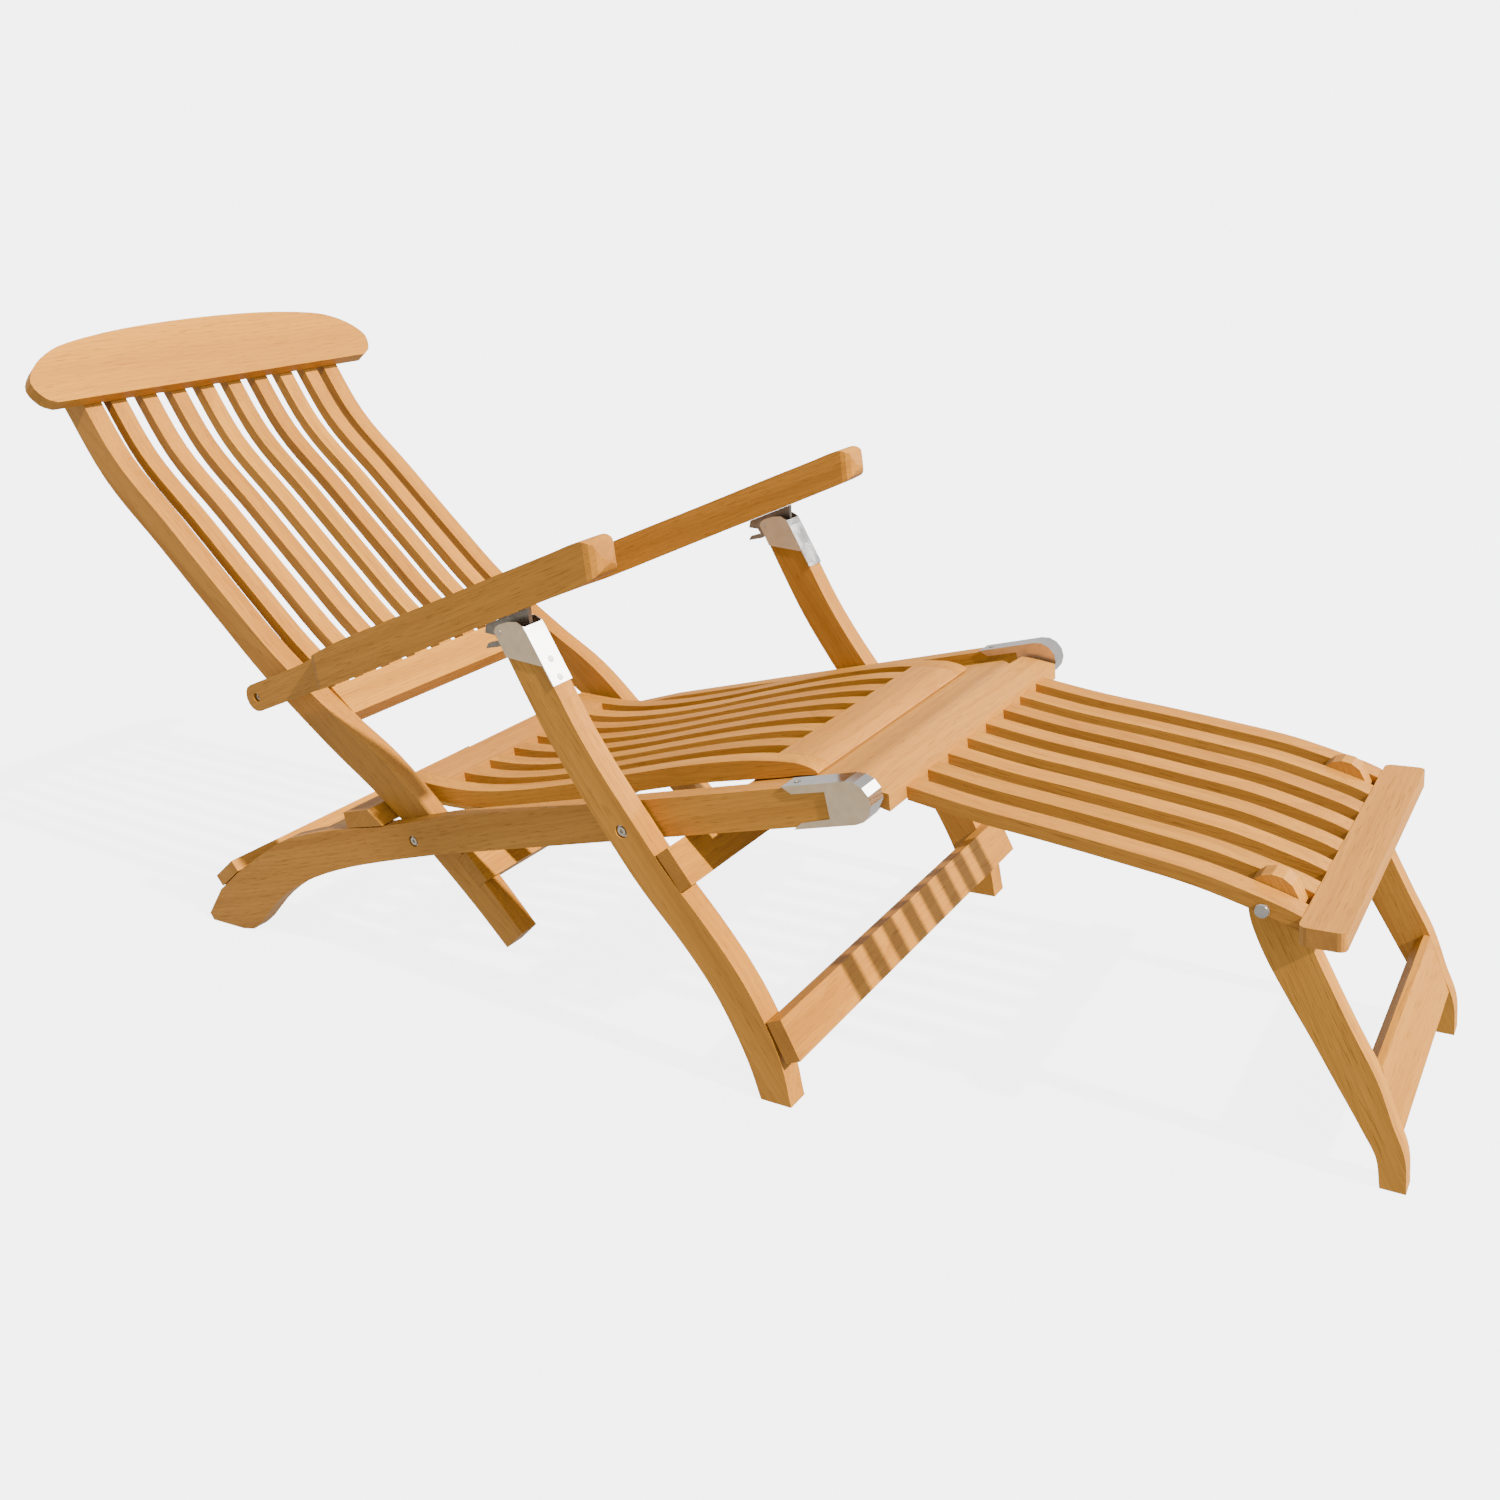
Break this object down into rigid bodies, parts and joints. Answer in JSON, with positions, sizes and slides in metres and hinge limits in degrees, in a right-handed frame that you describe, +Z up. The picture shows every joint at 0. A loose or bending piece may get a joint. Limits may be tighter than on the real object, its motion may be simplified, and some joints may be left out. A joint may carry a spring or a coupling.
{
  "type": "folding deck chair",
  "caption": "Folding slatted wooden deck chair with curved high back, armrests, sabre rear feet and a draw-off slatted footrest on its own folding legs.",
  "frame": {"origin": "on the ground, at the centre of the chair's length and width", "axes": "+X from the backrest to the footrest, +Y to the sitter's left, +Z up"},
  "size_m": [1.8995, 0.64, 0.9581],
  "materials": {
    "teak": "oiled honey-coloured hardwood, open straight grain",
    "teak_board": "oiled honey-coloured hardwood, slightly pinker boards",
    "chrome": "polished sheet-metal fittings with satin cheeks",
    "steel": "plain steel bolts and hook plates"
  },
  "bodies": {
    "main_frame": {"side_rail_right": "teak", "side_rail_left": "teak", "rear_foot_rail": "teak", "back_rest_rail": "teak", "seat_batten": "teak", "front_support_rail": "teak", "seat_rear_board": "teak_board", "seat_front_board": "teak_board", "seat_slat_1": "teak", "seat_slat_2": "teak", "seat_slat_3": "teak", "seat_slat_4": "teak", "seat_slat_5": "teak", "seat_slat_6": "teak", "seat_slat_7": "teak", "seat_slat_8": "teak", "knee_cap_right": "chrome", "knee_cap_left": "chrome", "back_pivot_bolt_right": "steel", "back_pivot_bolt_left": "steel", "leg_pivot_bolt_right": "steel", "leg_pivot_bolt_left": "steel"},
    "backrest": {"back_stile_right": "teak", "back_stile_left": "teak", "crest_rail": "teak_board", "lower_back_rail": "teak", "stile_foot_rail": "teak", "back_slat_1": "teak", "back_slat_2": "teak", "back_slat_3": "teak", "back_slat_4": "teak", "back_slat_5": "teak", "back_slat_6": "teak", "back_slat_7": "teak", "back_slat_8": "teak"},
    "leg_frame": {"front_leg_right": "teak", "front_leg_left": "teak", "leg_upper_rail": "teak", "leg_lower_rail": "teak", "leg_bracket_right": "chrome", "leg_bracket_left": "chrome"},
    "armrest_right": {"armrest_right": "teak", "arm_lug_right": "steel"},
    "armrest_left": {"armrest_left": "teak", "arm_lug_left": "steel"},
    "footrest": {"footrest_header": "teak_board", "footrest_slat_1": "teak", "footrest_slat_2": "teak", "footrest_slat_3": "teak", "footrest_slat_4": "teak", "footrest_slat_5": "teak", "footrest_slat_6": "teak", "footrest_slat_7": "teak", "footrest_slat_8": "teak", "footrest_end_board": "teak_board", "footrest_pivot_bolt_right": "chrome", "footrest_pivot_bolt_left": "chrome"},
    "footrest_legs": {"footrest_leg_right": "teak", "footrest_leg_left": "teak", "footrest_leg_rail": "teak"}
  },
  "joints": [
    {"name": "back_fold", "type": "hinge", "parent": "main_frame", "child": "backrest", "pos_m": [-0.3, 0, 0.2305], "axis": [0, 1, 0], "range_deg": [0, 103]},
    {"name": "leg_fold", "type": "hinge", "parent": "main_frame", "child": "leg_frame", "pos_m": [0.1195, 0, 0.3245], "axis": [0, 1, 0], "range_deg": [0, 94.3]},
    {"name": "arm_right_fold", "type": "hinge", "parent": "backrest", "child": "armrest_right", "pos_m": [-0.558, 0, 0.4265], "axis": [0, 1, 0], "range_deg": [-103.5, 0]},
    {"name": "arm_left_fold", "type": "hinge", "parent": "backrest", "child": "armrest_left", "pos_m": [-0.558, 0, 0.4265], "axis": [0, 1, 0], "range_deg": [-103.5, 0]},
    {"name": "footrest_slide", "type": "slide", "parent": "main_frame", "child": "footrest", "axis": [0.9763, 0, 0.2164], "range_m": [0, 0.3]},
    {"name": "footrest_leg_fold", "type": "hinge", "parent": "footrest", "child": "footrest_legs", "pos_m": [0.82, 0, 0.303], "axis": [0, 1, 0], "range_deg": [0, 120]}
  ],
  "couplings": [
    {"joint": "leg_fold", "follows": "back_fold", "ratio": 0.911},
    {"joint": "arm_right_fold", "follows": "back_fold", "ratio": -1},
    {"joint": "arm_left_fold", "follows": "back_fold", "ratio": -1}
  ]
}
